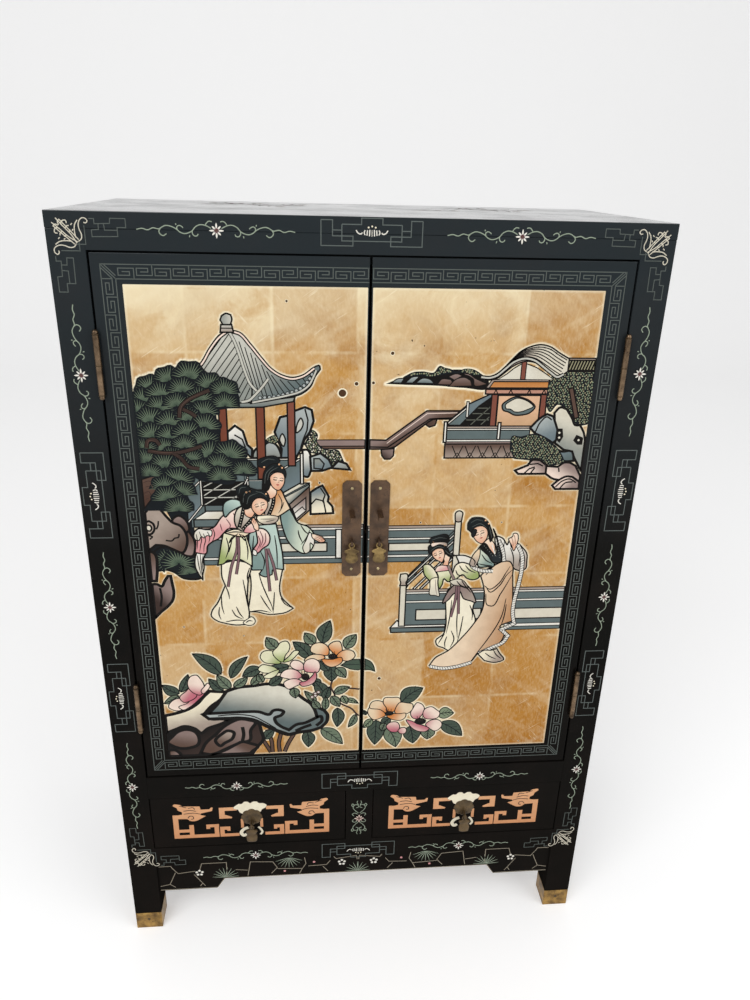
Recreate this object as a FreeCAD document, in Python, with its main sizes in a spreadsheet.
import FreeCAD, Part
import Sketcher
import math
import os
import re

# A lacquered console cabinet: two gilt doors over two drawers, on four square legs with brass feet.
# X runs to the right, Y to the back and Z up. The origin is on the floor, under the middle of the whole.

Vector = FreeCAD.Vector

# Driving sizes, in millimetres.
SIZES = {
    # case
    "case_width": 610.0,
    "case_depth": 305.0,
    "case_height": 935.0,
    "leg_size": 35.0,
    "top_thick": 16.0,
    "side_thick": 15.0,
    "side_inset": 2.0,
    "back_thick": 8.0,
    "back_inset": 4.0,
    "tongue": 6.0,
    # rails, muntin and aprons
    "rail_thick": 18.0,
    "top_rail_height": 19.0,
    "middle_rail_height": 34.0,
    "bottom_rail_height": 28.0,
    "tenon_length": 15.0,
    "tenon_thick": 8.0,
    "tenon_shoulder": 4.0,
    "muntin_width": 35.0,
    "ground_clear": 65.0,
    "apron_height": 52.0,
    "apron_thick": 14.0,
    "apron_setback": 3.0,
    "apron_end": 78.0,
    "apron_step": 11.0,
    "apron_rise": 16.5,
    # boards inside
    "floor_thick": 12.0,
    "shelf_thick": 14.0,
    "shelf_rise": 320.0,
    "shelf_clear": 0.5,
    "cleat_width": 15.0,
    "cleat_height": 18.0,
    "partition_thick": 12.0,
    "guide_height": 14.0,
    "stop_width": 12.0,
    "stop_drop": 12.0,
    "stop_clear": 0.3,
    # feet
    "cap_height": 28.0,
    "cap_wall": 0.8,
    "cap_base": 1.2,
    "cap_nail_level": 16.0,
    "cap_nail_head": 1.8,
    # doors
    "door_thick": 18.0,
    "door_setback": 0.5,
    "door_gap": 2.0,
    "meeting_gap": 2.5,
    "border_side": 28.5,
    "border_end": 29.0,
    "panel_rim": 1.2,
    "panel_thick": 3.0,
    "panel_recess": 0.6,
    # hinges
    "hinge_inset": 107.0,
    "hinge_length": 60.0,
    "hinge_radius": 3.2,
    "hinge_pin_radius": 1.6,
    "pin_clear": 0.05,
    "hinge_proud": 3.6,
    "knuckle_gap": 0.3,
    "leaf_thick": 0.9,
    "leaf_clear": 0.2,
    "leaf_width": 14.0,
    "finial_radius": 2.9,
    "collar_thick": 1.0,
    "screw_radius": 1.2,
    "screw_head": 2.1,
    "screw_length": 12.0,
    "screw_spread": 34.0,
    # lock plates
    "plate_width": 21.5,
    "plate_height": 117.0,
    "plate_clip": 4.0,
    "plate_thick": 1.5,
    "plate_edge_gap": 3.4,
    "plate_rise": 340.0,
    "nail_inset": 9.0,
    "nail_radius": 0.8,
    "nail_length": 8.0,
    "nail_head_radius": 1.7,
    "nail_head_height": 0.9,
    "fit_clear": 0.05,
    "lock_post_rise": 21.0,
    "lock_post_size": 5.5,
    "lock_post_length": 22.0,
    "lock_eye_radius": 1.75,
    "lock_eye_inset": 3.6,
    "tang_radius": 1.5,
    "tang_length": 10.0,
    # drop pulls
    "door_pull_drop": 14.0,
    "door_pull_stand": 6.0,
    "drawer_pull_drop": 7.0,
    "drawer_pull_stand": 7.0,
    "drawer_pull_across": 141.0,
    "drawer_pull_level": 47.0,
    "lug_radius": 3.3,
    "lug_eye_radius": 1.3,
    "lug_thick": 2.4,
    "ring_radius": 2.8,
    "ring_wire": 0.9,
    "drop_neck_level": 5.2,
    "door_drop_thick": 4.0,
    "door_drop_neck": 1.6,
    "door_drop_wing": 8.5,
    "door_drop_wing_top": 9.6,
    "door_drop_wing_bottom": 11.8,
    "door_drop_throat": 5.2,
    "door_drop_throat_level": 13.0,
    "door_drop_foot": 3.2,
    "door_drop_foot_level": 23.6,
    "door_drop_belly": 7.0,
    "door_drop_end": 25.4,
    "drawer_drop_thick": 5.0,
    "drawer_drop_neck": 2.2,
    "drawer_drop_shoulder": 4.2,
    "drawer_drop_shoulder_level": 9.0,
    "drawer_drop_waist": 6.3,
    "drawer_drop_waist_level": 19.0,
    "drawer_drop_belly": 6.6,
    "drawer_drop_foot": 7.4,
    "drawer_drop_end": 26.0,
    # scalloped plates behind the drawer pulls
    "scallop_thick": 2.2,
    "scallop_core": 9.0,
    "scallop_offset": 7.5,
    "scallop_lobe": 6.3,
    # drawers
    "drawer_opening_height": 85.0,
    "drawer_gap": 1.0,
    "drawer_run": 0.3,
    "drawer_setback": 1.0,
    "drawer_front_thick": 18.0,
    "drawer_side_thick": 9.0,
    "drawer_side_height": 58.0,
    "drawer_back_thick": 9.0,
    "drawer_bottom_thick": 5.0,
    "drawer_bottom_raise": 6.0,
    "drawer_groove": 5.0,
    "drawer_back_clear": 0.5,
}

SCALLOP_LOBES = 6

# A lock plate has this many nails, listed first among its holes.
PLATE_NAILS = 2

# Radius of the circle on which the corners of a straight outline start.
START_RADIUS = 10.0

# Places that follow from the sizes, as formulas.
PLACES = {
    "half_width": "case_width / 2",
    "inner": "half_width - leg_size",
    "lock_reach": "plate_thick + lock_post_length - door_setback - panel_recess",
    "drawer_reach": "scallop_thick + drawer_pull_stand + lug_radius - drawer_setback",
    "front": "-(case_depth - max(lock_reach; drawer_reach)) / 2",
    "rear": "front + case_depth",
    "leg_back": "front + leg_size",
    "rear_leg_front": "rear - leg_size",
    "rail_back": "front + rail_thick",
    "side_inside": "half_width - side_inset - side_thick",
    "back_inside": "rear - back_inset - back_thick",
    "top_under": "case_height - top_thick",
    "door_opening_top": "top_under - top_rail_height",
    "apron_top": "ground_clear + apron_height",
    "drawer_opening_bottom": "apron_top + bottom_rail_height",
    "drawer_opening_top": "drawer_opening_bottom + drawer_opening_height",
    "door_opening_bottom": "drawer_opening_top + middle_rail_height",
    "half_muntin_tenon": "muntin_width / 2 - tenon_shoulder",
    "apron_step_outer": "inner - apron_end",
    "apron_step_inner": "apron_step_outer - apron_step",
    "apron_arch": "ground_clear + apron_rise",
    "shelf_low": "door_opening_bottom + shelf_rise",
    "side_gap": "2 * leaf_thick + leaf_clear",
    "door_outer": "inner - side_gap",
    "door_inner": "meeting_gap / 2",
    "door_top": "door_opening_top - door_gap",
    "door_bottom": "door_opening_bottom + door_gap",
    "door_face": "front + door_setback",
    "door_back": "door_face + door_thick",
    "gilt_face": "door_face + panel_recess",
    "gilt_back": "gilt_face + panel_thick",
    "gilt_inner": "door_inner + panel_rim",
    "gilt_outer": "door_outer - border_side",
    "gilt_top": "door_top - border_end",
    "gilt_bottom": "door_bottom + border_end",
    "hinge_across": "inner - side_gap / 2",
    "hinge_deep": "front - hinge_proud",
    "bore_radius": "hinge_pin_radius + pin_clear",
    "leaf_root": "hinge_deep + (bore_radius + hinge_radius) / 2",
    "leaf_end": "front + leaf_width",
    "screw_deep": "front + leaf_width / 2",
    "plate_across": "door_inner + plate_edge_gap + plate_width / 2",
    "plate_level": "door_bottom + plate_rise",
    "plate_face": "gilt_face - plate_thick",
    "lock_level": "plate_level + lock_post_rise",
    "lock_tip": "plate_face - lock_post_length",
    "door_pull_axis": "plate_level - door_pull_drop",
    "door_pull_deep": "plate_face - door_pull_stand",
    "drawer_inner": "muntin_width / 2 + drawer_gap",
    "drawer_outer": "inner - drawer_gap",
    "drawer_low": "drawer_opening_bottom + drawer_run",
    "drawer_high": "drawer_opening_top - drawer_gap",
    "drawer_face": "front + drawer_setback",
    "drawer_front_back": "drawer_face + drawer_front_thick",
    "drawer_end": "back_inside - drawer_back_clear",
    "scallop_face": "drawer_face - scallop_thick",
    "scallop_level": "drawer_opening_bottom + drawer_pull_level",
    "drawer_pull_axis": "scallop_level - drawer_pull_drop",
    "drawer_pull_deep": "scallop_face - drawer_pull_stand",
}

SIDES = ("left", "right")

# A sketch knows an edge's points by their place in this list, and its own origin by a number.
EDGE_POINTS = ("whole", "start", "end", "centre")
START = EDGE_POINTS.index("start")
END = EDGE_POINTS.index("end")
CENTRE = EDGE_POINTS.index("centre")
ORIGIN = -1

WORD = re.compile(r"[a-z_]+")

# Turns that lay a rod, made upright, along another direction.
ALONG = {
    "+x": FreeCAD.Rotation(Vector(0, 1, 0), 90),
    "-x": FreeCAD.Rotation(Vector(0, 1, 0), -90),
    "+y": FreeCAD.Rotation(Vector(1, 0, 0), -90),
    "-y": FreeCAD.Rotation(Vector(1, 0, 0), 90),
    "+z": FreeCAD.Rotation(),
}

doc = FreeCAD.newDocument("ConsoleCabinet")
subparts = []


def fill_sheet():
    """Write each driving size into a cell of its own, under its name."""
    sheet = doc.addObject("Spreadsheet::Sheet", "Dims")
    for row, (name, size) in enumerate(SIZES.items(), start=1):
        sheet.set(f"A{row}", name)
        sheet.set(f"B{row}", str(size))
        sheet.setAlias(f"B{row}", name)
    doc.recompute()


def bind(formula):
    """Spell a formula out, with each size read from its cell and each place from its own formula."""

    def spell(match):
        word = match.group()
        if word in SIZES:
            return "Dims." + word
        if word in PLACES:
            return "(" + bind(PLACES[word]) + ")"
        return word

    return WORD.sub(spell, formula)


def keep(piece):
    """Count a finished piece among the sub-parts that are written out."""
    subparts.append(piece)
    return piece


def place(piece, spot):
    """Tie the place of a piece to three formulas."""
    for axis, formula in zip("xyz", spot):
        piece.setExpression("Placement.Base." + axis, bind(formula))


def block(name, x, y, z):
    """A board between a low and a high limit along each axis."""
    board = doc.addObject("Part::Box", name)
    for side, (low, high) in zip(("Length", "Width", "Height"), (x, y, z)):
        board.setExpression(side, bind(f"({high}) - ({low})"))
    place(board, [low for low, high in (x, y, z)])
    return board


def rod(name, start, along, radius, length):
    """A round bar from a start point along an axis."""
    bar = doc.addObject("Part::Cylinder", name)
    bar.setExpression("Radius", bind(radius))
    bar.setExpression("Height", bind(length))
    bar.Placement = FreeCAD.Placement(Vector(), ALONG[along])
    place(bar, start)
    return bar


def taper(name, start, along, radius, end_radius, length):
    """A cone frustum from a start point along an axis."""
    cone = doc.addObject("Part::Cone", name)
    cone.setExpression("Radius1", bind(radius))
    cone.setExpression("Radius2", bind(end_radius))
    cone.setExpression("Height", bind(length))
    cone.Placement = FreeCAD.Placement(Vector(), ALONG[along])
    place(cone, start)
    return cone


def joined(name, pieces):
    """Several solids as one."""
    whole = doc.addObject("Part::MultiFuse", name)
    whole.Shapes = pieces
    return whole


def less(name, base, tools):
    """A solid with the space of others taken out of it."""
    rest = doc.addObject("Part::Cut", name)
    rest.Base = base
    rest.Tool = tools[0] if len(tools) == 1 else joined(name + "_cuts", tools)
    return rest


def group(name, pieces):
    """Like pieces in one node, each a solid of its own."""
    several = doc.addObject("Part::Compound", name)
    several.Links = pieces
    return several


def outward(side, near, far):
    """Limits along X on one side of the middle, from a near and a far distance."""
    if side == "right":
        return (near, far)
    return (f"-({far})", f"-({near})")


def across(side, distance):
    """A distance from the middle, to the right or to the left."""
    if side == "right":
        return distance
    return f"-({distance})"


def new_sketch(body, name):
    """A sketch on the body's own upright plane that faces the front."""
    sketch = body.newObject("Sketcher::SketchObject", name)
    plane = [feature for feature in body.Origin.OriginFeatures if feature.Role == "XZ_Plane"][0]
    sketch.AttachmentSupport = [(plane, "")]
    sketch.MapMode = "FlatFace"
    return sketch


def hold_point(sketch, edge, end, point, start):
    """Hold a point of a sketch at two formulas, from where it starts."""
    for direction, formula, value in zip(("DistanceX", "DistanceY"), point, start):
        index = sketch.addConstraint(Sketcher.Constraint(direction, ORIGIN, START, edge, end, value))
        sketch.setExpression(f"Constraints[{index}]", bind(formula))


def draw_circle(sketch, centre, radius):
    """A round outline about a centre, held by formulas."""
    edge = sketch.addGeometry(Part.Circle(Vector(1, 1, 0), Vector(0, 0, 1), 1))
    hold_point(sketch, edge, CENTRE, centre, (1, 1))
    index = sketch.addConstraint(Sketcher.Constraint("Radius", edge, 1))
    sketch.setExpression(f"Constraints[{index}]", bind(radius))


def draw_outline(sketch, corners, starts, belly_edges=(), belly=None):
    """Close an outline clockwise through corners, each a pair of formulas.

    An edge listed as a belly is an arc that bulges outward with the given radius.
    """
    count = len(corners)
    heads = []
    tails = []
    for number in range(count):
        head = Vector(*starts[number], 0)
        tail = Vector(*starts[(number + 1) % count], 0)
        if number in belly_edges:
            edge = sketch.addGeometry(belly_arc(head, tail, SIZES[belly]))
            index = sketch.addConstraint(Sketcher.Constraint("Radius", edge, SIZES[belly]))
            sketch.setExpression(f"Constraints[{index}]", bind(belly))
            heads.append((edge, END))
            tails.append((edge, START))
        else:
            edge = sketch.addGeometry(Part.LineSegment(head, tail))
            heads.append((edge, START))
            tails.append((edge, END))
    for number in range(count):
        following = heads[(number + 1) % count]
        sketch.addConstraint(Sketcher.Constraint("Coincident", *tails[number], *following))
        hold_point(sketch, *heads[number], corners[number], starts[number])


def belly_arc(head, tail, radius):
    """The arc of a radius that runs clockwise from head to tail, as a sketch holds it."""
    chord = tail - head
    depth = math.sqrt(radius ** 2 - chord.Length ** 2 / 4)
    inward = Vector(chord.y, -chord.x, 0).normalize()
    centre = (head + tail) / 2 + inward * depth
    first = math.atan2(tail.y - centre.y, tail.x - centre.x)
    last = math.atan2(head.y - centre.y, head.x - centre.x)
    return Part.ArcOfCircle(Part.Circle(centre, Vector(0, 0, 1), radius), first, last)


def ring_starts(count):
    """Corners spread clockwise on a circle, from which straight outlines are pulled into shape."""
    turns = [2 * math.pi * number / count for number in range(count)]
    return [(START_RADIUS * math.cos(turn), -START_RADIUS * math.sin(turn)) for turn in turns]


def pad(body, sketch, name, thick, backward=False):
    """Thicken a sketch towards the front, or towards the back."""
    feature = body.newObject("PartDesign::Pad", name)
    feature.Profile = sketch
    feature.setExpression("Length", bind(thick))
    feature.Reversed = backward
    return feature


def make_rail(name, low, high, cuts):
    """A front rail with a tenon at each end."""
    deep = ("front", "rail_back")
    tenon_deep = (
        "front + (rail_thick - tenon_thick) / 2",
        "front + (rail_thick + tenon_thick) / 2",
    )
    reach = "inner + tenon_length"
    body = block(name + "_body", ("-inner", "inner"), deep, (low, high))
    tenon_tall = (f"{low} + tenon_shoulder", f"{high} - tenon_shoulder")
    tenon = block(name + "_tenon", (f"-({reach})", reach), tenon_deep, tenon_tall)
    if not cuts:
        return keep(joined(name, [body, tenon]))
    return keep(less(name, joined(name + "_whole", [body, tenon]), cuts))


def make_muntin():
    """The short upright between the drawers, with a stub tenon into each rail."""
    half = "muntin_width / 2"
    stub = ("-(half_muntin_tenon)", "half_muntin_tenon")
    body = block(
        "muntin_body",
        (f"-({half})", half),
        ("front", "rail_back"),
        ("drawer_opening_bottom", "drawer_opening_top"),
    )
    tenon = block(
        "muntin_tenon",
        stub,
        ("front + (rail_thick - tenon_thick) / 2", "front + (rail_thick + tenon_thick) / 2"),
        ("drawer_opening_bottom - tongue", "drawer_opening_top + tongue"),
    )
    return keep(joined("drawer_muntin", [body, tenon]))


def make_rails():
    """The three front rails and the muntin between the lower two."""
    muntin = make_muntin()
    return [
        make_rail("top_rail", "door_opening_top", "top_under", []),
        make_rail("middle_rail", "drawer_opening_top", "door_opening_bottom", [muntin]),
        make_rail("bottom_rail", "apron_top", "drawer_opening_bottom", [muntin]),
    ]


def make_aprons():
    """The stepped front apron and the straight ones at the sides."""
    apron = doc.addObject("PartDesign::Body", "front_apron")
    sketch = new_sketch(apron, "front_apron_outline")
    corners = [
        ("-inner", "apron_top"),
        ("inner", "apron_top"),
        ("inner", "ground_clear"),
        ("apron_step_outer", "ground_clear"),
        ("apron_step_inner", "apron_arch"),
        ("-apron_step_inner", "apron_arch"),
        ("-apron_step_outer", "ground_clear"),
        ("-inner", "ground_clear"),
    ]
    draw_outline(sketch, corners, ring_starts(len(corners)))
    pad(apron, sketch, "front_apron_board", "apron_thick", backward=True)
    place(apron, ("0", "front + apron_setback", "0"))
    keep(apron)
    side_deep = ("leg_back", "rear_leg_front")
    side_tall = ("apron_arch", "apron_top")
    for side in SIDES:
        far = "half_width - side_inset"
        limits = outward(side, f"{far} - apron_thick", far)
        keep(block(side + "_side_apron", limits, side_deep, side_tall))


def make_panels():
    """Side and back panels, let into the legs by a tongue."""
    panels = {}
    tall = ("apron_top", "top_under")
    for side in SIDES:
        limits = outward(side, "side_inside", "half_width - side_inset")
        deep = ("leg_back - tongue", "rear_leg_front + tongue")
        panels[side] = keep(block(side + "_side_panel", limits, deep, tall))
    wide = ("-(inner + tongue)", "inner + tongue")
    panels["back"] = keep(block("back_panel", wide, ("back_inside", "rear - back_inset"), tall))
    top_wide = ("-half_width", "half_width")
    keep(block("top_board", top_wide, ("front", "rear"), ("top_under", "case_height")))
    return panels


def make_legs(rails, panels):
    """Four legs with a stepped foot, cut for what is let into them, and the brass caps on their feet."""
    caps = []
    nails = []
    for side in SIDES:
        for end in ("front", "back"):
            name = f"{end}_{side}_leg"
            deep = ("front", "leg_back") if end == "front" else ("rear_leg_front", "rear")
            wide = outward(side, "inner", "half_width")
            foot_deep = (f"{deep[0]} + cap_wall", f"{deep[1]} - cap_wall")
            foot_wide = (f"{wide[0]} + cap_wall", f"{wide[1]} - cap_wall")
            shaft = block(name + "_shaft", wide, deep, ("cap_height", "top_under"))
            foot = block(name + "_foot", foot_wide, foot_deep, ("cap_base", "cap_height"))
            head, shank = cap_nail(name, side, end)
            cuts = [panels[side], shank_hole(name, side, end)]
            if end == "front":
                cuts = cuts + rails + hinge_screw_holes(side, "frame")
            else:
                cuts.append(panels["back"])
            keep(less(name, joined(name + "_whole", [shaft, foot]), cuts))
            shell = block(name + "_cap_shell", wide, deep, ("0", "cap_height"))
            caps.append(less(name + "_cap", shell, [foot, head_hole(name, side, end)]))
            nails.append(joined(name + "_nail", [head, shank]))
    keep(group("foot_caps", caps))
    keep(group("foot_cap_nails", nails))


def nail_spot(side, end):
    """Where a cap nail enters, and which way it goes in."""
    middle = across(side, "half_width - leg_size / 2")
    if end == "front":
        return (middle, "front", "cap_nail_level"), "+y", "front + cap_wall"
    return (middle, "rear", "cap_nail_level"), "-y", "rear - cap_wall"


def cap_nail(name, side, end):
    """A flush nail: its head fills the cap's wall and its shank goes on into the leg."""
    spot, along, under = nail_spot(side, end)
    head = rod(name + "_nail_head", spot, along, "cap_nail_head", "cap_wall")
    shank = rod(name + "_nail_shank", (spot[0], under, spot[2]), along, "nail_radius", "nail_length")
    return head, shank


def head_hole(name, side, end):
    """The hole that the nail's head fills in the cap."""
    spot, along, under = nail_spot(side, end)
    return rod(name + "_cap_hole", spot, along, "cap_nail_head + fit_clear", "cap_wall")


def shank_hole(name, side, end):
    """The hole that the nail's shank fills in the leg."""
    spot, along, under = nail_spot(side, end)
    start = (spot[0], under, spot[2])
    return rod(name + "_nail_hole", start, along, "nail_radius + fit_clear", "nail_length + fit_clear")


def make_inside():
    """The boards inside the case and the strips that carry, guide or stop something."""
    full_depth = ("rail_back", "back_inside")
    leg_depth = ("leg_back", "rear_leg_front")
    wide = ("-inner", "inner")
    cupboard_tall = ("door_opening_bottom - floor_thick", "door_opening_bottom")
    drawer_tall = ("drawer_opening_bottom - floor_thick", "drawer_opening_bottom")
    keep(block("cupboard_floor", wide, full_depth, cupboard_tall))
    keep(block("drawer_floor", wide, full_depth, drawer_tall))
    half = "partition_thick / 2"
    bay_tall = ("drawer_opening_bottom", "door_opening_bottom - floor_thick")
    keep(block("drawer_partition", (f"-({half})", half), full_depth, bay_tall))
    shelf_half = "side_inside - shelf_clear"
    shelf_tall = ("shelf_low", "shelf_low + shelf_thick")
    keep(block("shelf", (f"-({shelf_half})", shelf_half), leg_depth, shelf_tall))
    stop_front = "max(rail_back; door_back + stop_clear)"
    stop_deep = (stop_front, f"{stop_front} + stop_width")
    keep(block("door_stop", wide, stop_deep, ("door_opening_top - stop_drop", "top_under")))
    floor_cleats = []
    guides = []
    shelf_cleats = []
    guide_tall = ("drawer_opening_bottom", "drawer_opening_bottom + guide_height")
    for side in SIDES:
        gap = outward(side, "inner", "side_inside")
        floor_cleats.append(block(side + "_cupboard_cleat", gap, leg_depth, cupboard_tall))
        floor_cleats.append(block(side + "_drawer_cleat", gap, leg_depth, drawer_tall))
        guides.append(block(side + "_outer_guide", gap, leg_depth, guide_tall))
        middle = outward(side, half, "muntin_width / 2")
        guides.append(block(side + "_inner_guide", middle, full_depth, guide_tall))
        cleat = outward(side, "side_inside - cleat_width", "side_inside")
        shelf_cleats.append(
            block(side + "_shelf_cleat", cleat, leg_depth, ("shelf_low - cleat_height", "shelf_low"))
        )
    keep(group("floor_cleats", floor_cleats))
    keep(group("drawer_guides", guides))
    keep(group("shelf_cleats", shelf_cleats))


def hinge_levels():
    """The middles of the two hinges of a door."""
    return {"lower": "door_bottom + hinge_inset", "upper": "door_top - hinge_inset"}


def leaf_limits(side, owner):
    """Limits of a hinge leaf along X: against the leg, or against the door's edge."""
    if owner == "frame":
        return outward(side, "inner - leaf_thick", "inner")
    return outward(side, "door_outer", "door_outer + leaf_thick")


def screw_heads(side, owner):
    """Where the heads of the hinge screws lie, along X."""
    if owner == "frame":
        return across(side, "inner - leaf_thick")
    return across(side, "door_outer + leaf_thick")


def screw_roots(side, owner):
    """Where the shanks of the hinge screws enter the wood, along X."""
    if owner == "frame":
        return across(side, "inner")
    return across(side, "door_outer")


def screw_way(side, owner):
    """The way that hinge screws go in: outward into a leg, inward into a door."""
    return "+x" if (side == "right") == (owner == "frame") else "-x"


def hinge_screw_spots(side, owner):
    """Names and levels of the two screws in each leaf."""
    spots = []
    for level, middle in hinge_levels().items():
        for mark, sign in (("low", "-"), ("high", "+")):
            spots.append((f"{side}_{level}_{owner}_{mark}", f"{middle} {sign} screw_spread / 2"))
    return spots


def hinge_screw_holes(side, owner):
    """Holes for the screws' shanks, in the leg or in the door."""
    along = screw_way(side, owner)
    holes = []
    for name, level in hinge_screw_spots(side, owner):
        start = (screw_roots(side, owner), "screw_deep", level)
        radius = "screw_radius + fit_clear"
        holes.append(rod(name + "_pilot", start, along, radius, "screw_length + fit_clear"))
    return holes


def hinge_screws(side, owner):
    """Countersunk screws, flush with the leaf."""
    along = screw_way(side, owner)
    screws = []
    for name, level in hinge_screw_spots(side, owner):
        head = (screw_heads(side, owner), "screw_deep", level)
        root = (screw_roots(side, owner), "screw_deep", level)
        cone = taper(name + "_head", head, along, "screw_head", "screw_radius", "leaf_thick")
        shank = rod(name + "_shank", root, along, "screw_radius", "screw_length")
        screws.append(joined(name + "_screw", [cone, shank]))
    return screws


def hinge_leaves(side, owner):
    """Leaves of one owner, frame or door, each with its knuckle: the frame's below, the door's above."""
    along = screw_way(side, owner)
    screw_levels = hinge_screw_spots(side, owner)
    leaves = []
    for number, (level, middle) in enumerate(hinge_levels().items()):
        name = f"{side}_{level}_{owner}_leaf"
        low = f"{middle} - hinge_length / 2"
        high = f"{middle} + hinge_length / 2"
        if owner == "frame":
            knuckle_tall = (low, f"{middle} - knuckle_gap / 2")
        else:
            knuckle_tall = (f"{middle} + knuckle_gap / 2", high)
        wide = leaf_limits(side, owner)
        plate = block(name + "_plate", wide, ("front", "leaf_end"), (low, high))
        web = block(name + "_web", wide, ("leaf_root", "front"), knuckle_tall)
        axis = (across(side, "hinge_across"), "hinge_deep", knuckle_tall[0])
        length = "(hinge_length - knuckle_gap) / 2"
        barrel = rod(name + "_barrel", axis, "+z", "hinge_radius", length)
        bore = rod(name + "_bore", axis, "+z", "bore_radius", length)
        cuts = [bore]
        for screw, spot in screw_levels[2 * number:2 * number + 2]:
            start = (screw_heads(side, owner), "screw_deep", spot)
            wide_end = "screw_head + fit_clear"
            narrow_end = "screw_radius + fit_clear"
            cuts.append(taper(screw + "_sink", start, along, wide_end, narrow_end, "leaf_thick"))
        leaves.append(less(name, joined(name + "_whole", [plate, web, barrel]), cuts))
    return leaves


def hinge_pins(side):
    """A pin through each pair of knuckles, with a collar and a ball at each end."""
    pins = []
    for level, middle in hinge_levels().items():
        name = f"{side}_{level}_hinge_pin"
        spot = (across(side, "hinge_across"), "hinge_deep")
        low = f"{middle} - hinge_length / 2 - knuckle_gap"
        high = f"{middle} + hinge_length / 2 + knuckle_gap"
        length = "hinge_length + 2 * knuckle_gap"
        pieces = [rod(name + "_shaft", (*spot, low), "+z", "hinge_pin_radius", length)]
        for end, collar_low, ball_level in (
            ("bottom", f"{low} - collar_thick", f"{low} - collar_thick - finial_radius / 2"),
            ("top", high, f"{high} + collar_thick + finial_radius / 2"),
        ):
            start = (*spot, collar_low)
            pieces.append(rod(f"{name}_{end}_collar", start, "+z", "hinge_radius", "collar_thick"))
            ball = doc.addObject("Part::Sphere", f"{name}_{end}_ball")
            ball.setExpression("Radius", bind("finial_radius"))
            place(ball, (*spot, ball_level))
            pieces.append(ball)
        pins.append(joined(name, pieces))
    return pins


def make_hinges():
    """The hinge pieces that stay with the frame, for both doors."""
    leaves = []
    pins = []
    screws = []
    for side in SIDES:
        leaves = leaves + hinge_leaves(side, "frame")
        pins = pins + hinge_pins(side)
        screws = screws + hinge_screws(side, "frame")
    keep(group("hinge_frame_leaves", leaves))
    keep(group("hinge_pins", pins))
    keep(group("hinge_frame_screws", screws))


def make_drop(name, spot, thick, half_outline, belly_edges, belly):
    """A drop hung on a wire ring; its outline is given down the right side, as pairs of sizes."""
    drop = doc.addObject("PartDesign::Body", name + "_cast")
    sketch = new_sketch(drop, name + "_outline")
    right = [(half, f"-{level}") for half, level in half_outline]
    left = [(f"-{half}", f"-{level}") for half, level in reversed(half_outline)]
    right_starts = [(SIZES[half], -SIZES[level]) for half, level in half_outline]
    left_starts = [(-SIZES[half], -SIZES[level]) for half, level in reversed(half_outline)]
    count = len(half_outline)
    mirrored_edges = [2 * count - 2 - edge for edge in belly_edges]
    starts = right_starts + left_starts
    draw_outline(sketch, right + left, starts, belly_edges + mirrored_edges, belly)
    pad(drop, sketch, name + "_body", thick)
    place(drop, (spot[0], f"{spot[1]} + {thick} / 2", spot[2]))
    ring = doc.addObject("Part::Torus", name + "_ring")
    ring.setExpression("Radius1", bind("ring_radius"))
    ring.setExpression("Radius2", bind("ring_wire"))
    ring.Placement = FreeCAD.Placement(Vector(), ALONG["-y"])
    place(ring, (spot[0], spot[1], f"{spot[2]} - ring_radius"))
    return keep(joined(name, [drop, ring]))


def make_lug(name, spot, face, depth):
    """An eye lug that a drop's ring hangs in, with a tang that goes into the wood behind."""
    half = "lug_thick / 2"
    wide = (f"{spot[0]} - {half}", f"{spot[0]} + {half}")
    tall = (f"{spot[2]} - lug_radius", f"{spot[2]} + lug_radius")
    neck = block(name + "_neck", wide, (spot[1], face), tall)
    start = (wide[0], spot[1], spot[2])
    head = rod(name + "_head", start, "+x", "lug_radius", "lug_thick")
    tang = rod(name + "_tang", (spot[0], face, spot[2]), "+y", "tang_radius", depth)
    eye = rod(name + "_eye", start, "+x", "lug_eye_radius", "lug_thick")
    return keep(less(name, joined(name + "_whole", [neck, head, tang]), [eye]))


def make_lock_post(side):
    """A square post with an eye across it for a lock's pin, and a tang into the door."""
    name = side + "_lock_post"
    middle = across(side, "plate_across")
    half = "lock_post_size / 2"
    wide = (f"{middle} - {half}", f"{middle} + {half}")
    tall = (f"lock_level - {half}", f"lock_level + {half}")
    bar = block(name + "_bar", wide, ("lock_tip", "plate_face"), tall)
    tang = rod(name + "_tang", (middle, "plate_face", "lock_level"), "+y", "tang_radius", "tang_length")
    eye_start = (wide[0], "lock_tip + lock_eye_inset", "lock_level")
    eye = rod(name + "_eye", eye_start, "+x", "lock_eye_radius", "lock_post_size")
    return keep(less(name, joined(name + "_whole", [bar, tang]), [eye]))


def lock_plate_holes():
    """Levels and radii of the holes in a lock plate: two nails, the lock post and the pull."""
    return [
        ("plate_height / 2 - nail_inset", "nail_radius + fit_clear"),
        ("nail_inset - plate_height / 2", "nail_radius + fit_clear"),
        ("lock_post_rise", "tang_radius + fit_clear"),
        ("-door_pull_drop", "tang_radius + fit_clear"),
    ]


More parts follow.
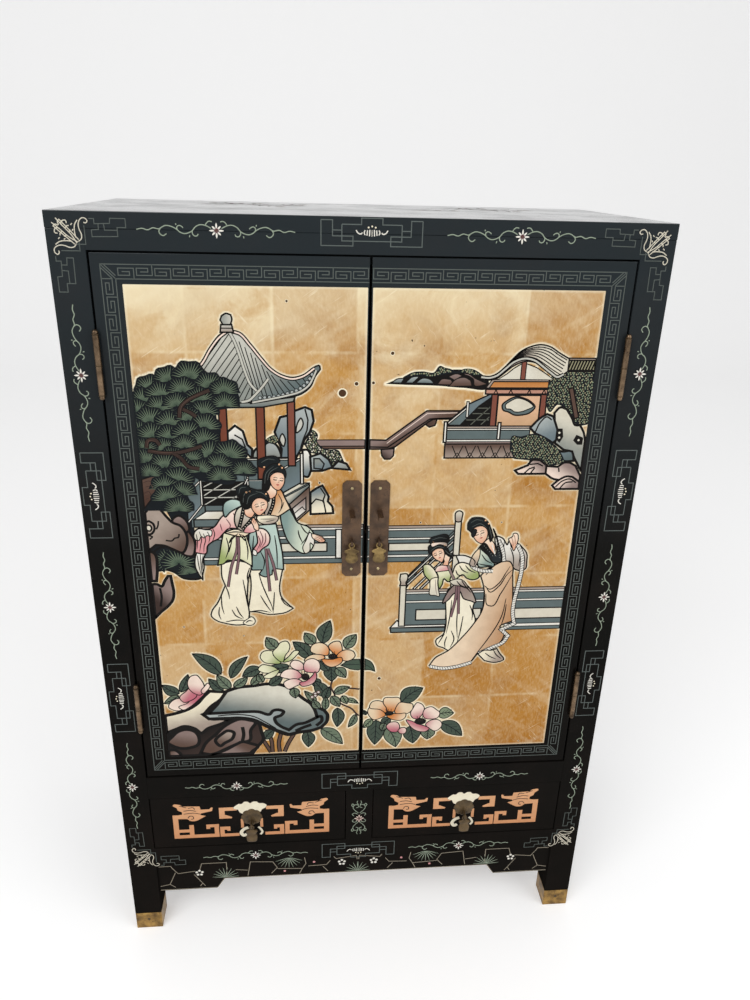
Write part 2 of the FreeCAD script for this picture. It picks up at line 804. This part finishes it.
def make_lock_plate(side):
    """A bronze plate with clipped corners and holes for what is fixed through it."""
    plate = doc.addObject("PartDesign::Body", side + "_lock_plate")
    sketch = new_sketch(plate, side + "_lock_plate_outline")
    half_wide = "plate_width / 2"
    half_tall = "plate_height / 2"
    corners = [
        (f"plate_clip - {half_wide}", half_tall),
        (f"{half_wide} - plate_clip", half_tall),
        (half_wide, f"{half_tall} - plate_clip"),
        (half_wide, f"plate_clip - {half_tall}"),
        (f"{half_wide} - plate_clip", f"-{half_tall}"),
        (f"plate_clip - {half_wide}", f"-{half_tall}"),
        (f"-{half_wide}", f"plate_clip - {half_tall}"),
        (f"-{half_wide}", f"{half_tall} - plate_clip"),
    ]
    draw_outline(sketch, corners, ring_starts(len(corners)))
    for level, radius in lock_plate_holes():
        draw_circle(sketch, ("0", level), radius)
    pad(plate, sketch, side + "_lock_plate_sheet", "plate_thick")
    place(plate, (across(side, "plate_across"), "gilt_face", "plate_level"))
    return keep(plate)


def make_plate_nails(side):
    """Two round-headed nails through a lock plate."""
    nails = []
    middle = across(side, "plate_across")
    for number in range(PLATE_NAILS):
        name = f"{side}_plate_nail_{number}"
        level = lock_plate_holes()[number][0]
        start = (middle, "plate_face", f"plate_level + {level}")
        shank = rod(name + "_shank", start, "+y", "nail_radius", "nail_length")
        head = taper(name + "_head", start, "-y", "nail_head_radius", "nail_radius", "nail_head_height")
        nails.append(joined(name, [shank, head]))
    return keep(group(side + "_lock_plate_nails", nails))


def make_door(side):
    """A door: a board with a gilt panel let into its face, and the metalwork that it carries."""
    wide = outward(side, "door_inner", "door_outer")
    tall = ("door_bottom", "door_top")
    board = block(side + "_door_blank", wide, ("door_face", "door_back"), tall)
    gilt_wide = outward(side, "gilt_inner", "gilt_outer")
    gilt_tall = ("gilt_bottom", "gilt_top")
    recess = block(side + "_door_recess", gilt_wide, ("door_face", "gilt_back"), gilt_tall)
    panel = block(side + "_gilt_blank", gilt_wide, ("gilt_face", "gilt_back"), gilt_tall)
    middle = across(side, "plate_across")
    holes = []
    for number, (level, radius) in enumerate(lock_plate_holes()):
        length = "nail_length + fit_clear" if number < PLATE_NAILS else "tang_length + fit_clear"
        start = (middle, "plate_face", f"plate_level + {level}")
        holes.append(rod(f"{side}_door_hole_{number}", start, "+y", radius, length))
    keep(less(side + "_door_board", board, [recess] + holes + hinge_screw_holes(side, "door")))
    keep(less(side + "_gilt_panel", panel, holes))
    keep(group(side + "_hinge_door_leaves", hinge_leaves(side, "door")))
    keep(group(side + "_hinge_door_screws", hinge_screws(side, "door")))
    make_lock_plate(side)
    make_plate_nails(side)
    make_lock_post(side)
    spot = (middle, "door_pull_deep", "door_pull_axis")
    make_lug(side + "_door_pull_lug", spot, "plate_face", "tang_length")
    half_outline = [
        ("door_drop_neck", "drop_neck_level"),
        ("door_drop_wing", "door_drop_wing_top"),
        ("door_drop_wing", "door_drop_wing_bottom"),
        ("door_drop_throat", "door_drop_throat_level"),
        ("door_drop_foot", "door_drop_foot_level"),
        ("door_drop_foot", "door_drop_end"),
    ]
    make_drop(side + "_door_pull_drop", spot, "door_drop_thick", half_outline, [3], "door_drop_belly")


def make_pull_plate(side):
    """A plate of round lobes about a core, with a hole for the lug's tang."""
    name = side + "_drawer_pull_plate"
    plate = doc.addObject("PartDesign::Body", name)
    core = new_sketch(plate, name + "_core_outline")
    draw_circle(core, ("0", "0"), "scallop_core")
    pad(plate, core, name + "_core", "scallop_thick")
    lobe = new_sketch(plate, name + "_lobe_outline")
    draw_circle(lobe, ("scallop_offset", "0"), "scallop_lobe")
    lobe_pad = pad(plate, lobe, name + "_lobe", "scallop_thick")
    lobes = plate.newObject("PartDesign::PolarPattern", name + "_lobes")
    lobes.Originals = [lobe_pad]
    lobes.Axis = (core, ["N_Axis"])
    lobes.Angle = 360
    lobes.Occurrences = SCALLOP_LOBES
    plate.Tip = lobes
    doc.recompute()
    hole = new_sketch(plate, name + "_hole_outline")
    draw_circle(hole, ("0", "-drawer_pull_drop"), "tang_radius + fit_clear")
    pocket = plate.newObject("PartDesign::Pocket", name + "_hole")
    pocket.Profile = hole
    pocket.setExpression("Length", bind("scallop_thick"))
    pocket.Reversed = True
    place(plate, (across(side, "drawer_pull_across"), "drawer_face", "scallop_level"))
    return keep(plate)


def make_drawer(side):
    """A drawer: front, sides, back and a bottom in grooves, with its drop pull."""
    wide = outward(side, "drawer_inner", "drawer_outer")
    front = block(
        side + "_drawer_front_blank",
        wide,
        ("drawer_face", "drawer_front_back"),
        ("drawer_low", "drawer_high"),
    )
    box_low = "drawer_low + drawer_bottom_raise"
    groove_wide = outward(
        side,
        "drawer_inner + drawer_side_thick - drawer_groove",
        "drawer_outer - drawer_side_thick + drawer_groove",
    )
    bottom = keep(
        block(
            side + "_drawer_bottom",
            groove_wide,
            ("drawer_front_back - drawer_groove", "drawer_end"),
            (box_low, f"{box_low} + drawer_bottom_thick"),
        )
    )
    side_deep = ("drawer_front_back - drawer_groove", "drawer_end")
    side_tall = ("drawer_low", "drawer_low + drawer_side_height")
    blanks = [
        block(
            f"{side}_drawer_inner_side_blank",
            outward(side, "drawer_inner", "drawer_inner + drawer_side_thick"),
            side_deep,
            side_tall,
        ),
        block(
            f"{side}_drawer_outer_side_blank",
            outward(side, "drawer_outer - drawer_side_thick", "drawer_outer"),
            side_deep,
            side_tall,
        ),
    ]
    grooved = [less(blank.Name.replace("_blank", ""), blank, [bottom]) for blank in blanks]
    keep(group(side + "_drawer_sides", grooved))
    back_wide = outward(side, "drawer_inner + drawer_side_thick", "drawer_outer - drawer_side_thick")
    back_deep = ("drawer_end - drawer_back_thick", "drawer_end")
    back_tall = (f"{box_low} + drawer_bottom_thick", side_tall[1])
    keep(block(side + "_drawer_back", back_wide, back_deep, back_tall))
    spot = (across(side, "drawer_pull_across"), "drawer_pull_deep", "drawer_pull_axis")
    hole_start = (spot[0], "drawer_face", spot[2])
    tang_depth = "tang_length + fit_clear - scallop_thick"
    hole = rod(side + "_drawer_pull_hole", hole_start, "+y", "tang_radius + fit_clear", tang_depth)
    keep(less(side + "_drawer_front", front, blanks + [bottom, hole]))
    make_pull_plate(side)
    make_lug(side + "_drawer_pull_lug", spot, "scallop_face", "tang_length")
    half_outline = [
        ("drawer_drop_neck", "drop_neck_level"),
        ("drawer_drop_shoulder", "drawer_drop_shoulder_level"),
        ("drawer_drop_waist", "drawer_drop_waist_level"),
        ("drawer_drop_foot", "drawer_drop_end"),
    ]
    make_drop(side + "_drawer_pull_drop", spot, "drawer_drop_thick", half_outline, [1], "drawer_drop_belly")


def check_and_write():
    """Stop at any failed piece, then write each sub-part to a file of its own name."""
    for item in doc.Objects:
        if "Invalid" in item.State or "Error" in item.State:
            raise RuntimeError(f"{item.Label} failed: {item.State}")
    for piece in subparts:
        if piece.Shape.isNull() or not piece.Shape.isValid():
            raise RuntimeError(f"{piece.Label} has no valid shape")
    os.makedirs("parts", exist_ok=True)
    for piece in subparts:
        piece.Shape.exportStep(f"parts/{piece.Label}.step")
        print(piece.Label, len(piece.Shape.Solids), round(piece.Shape.Volume, 1))


fill_sheet()
rails = make_rails()
make_aprons()
panels = make_panels()
make_legs(rails, panels)
make_inside()
make_hinges()
for side in SIDES:
    make_door(side)
    make_drawer(side)
doc.recompute()
check_and_write()
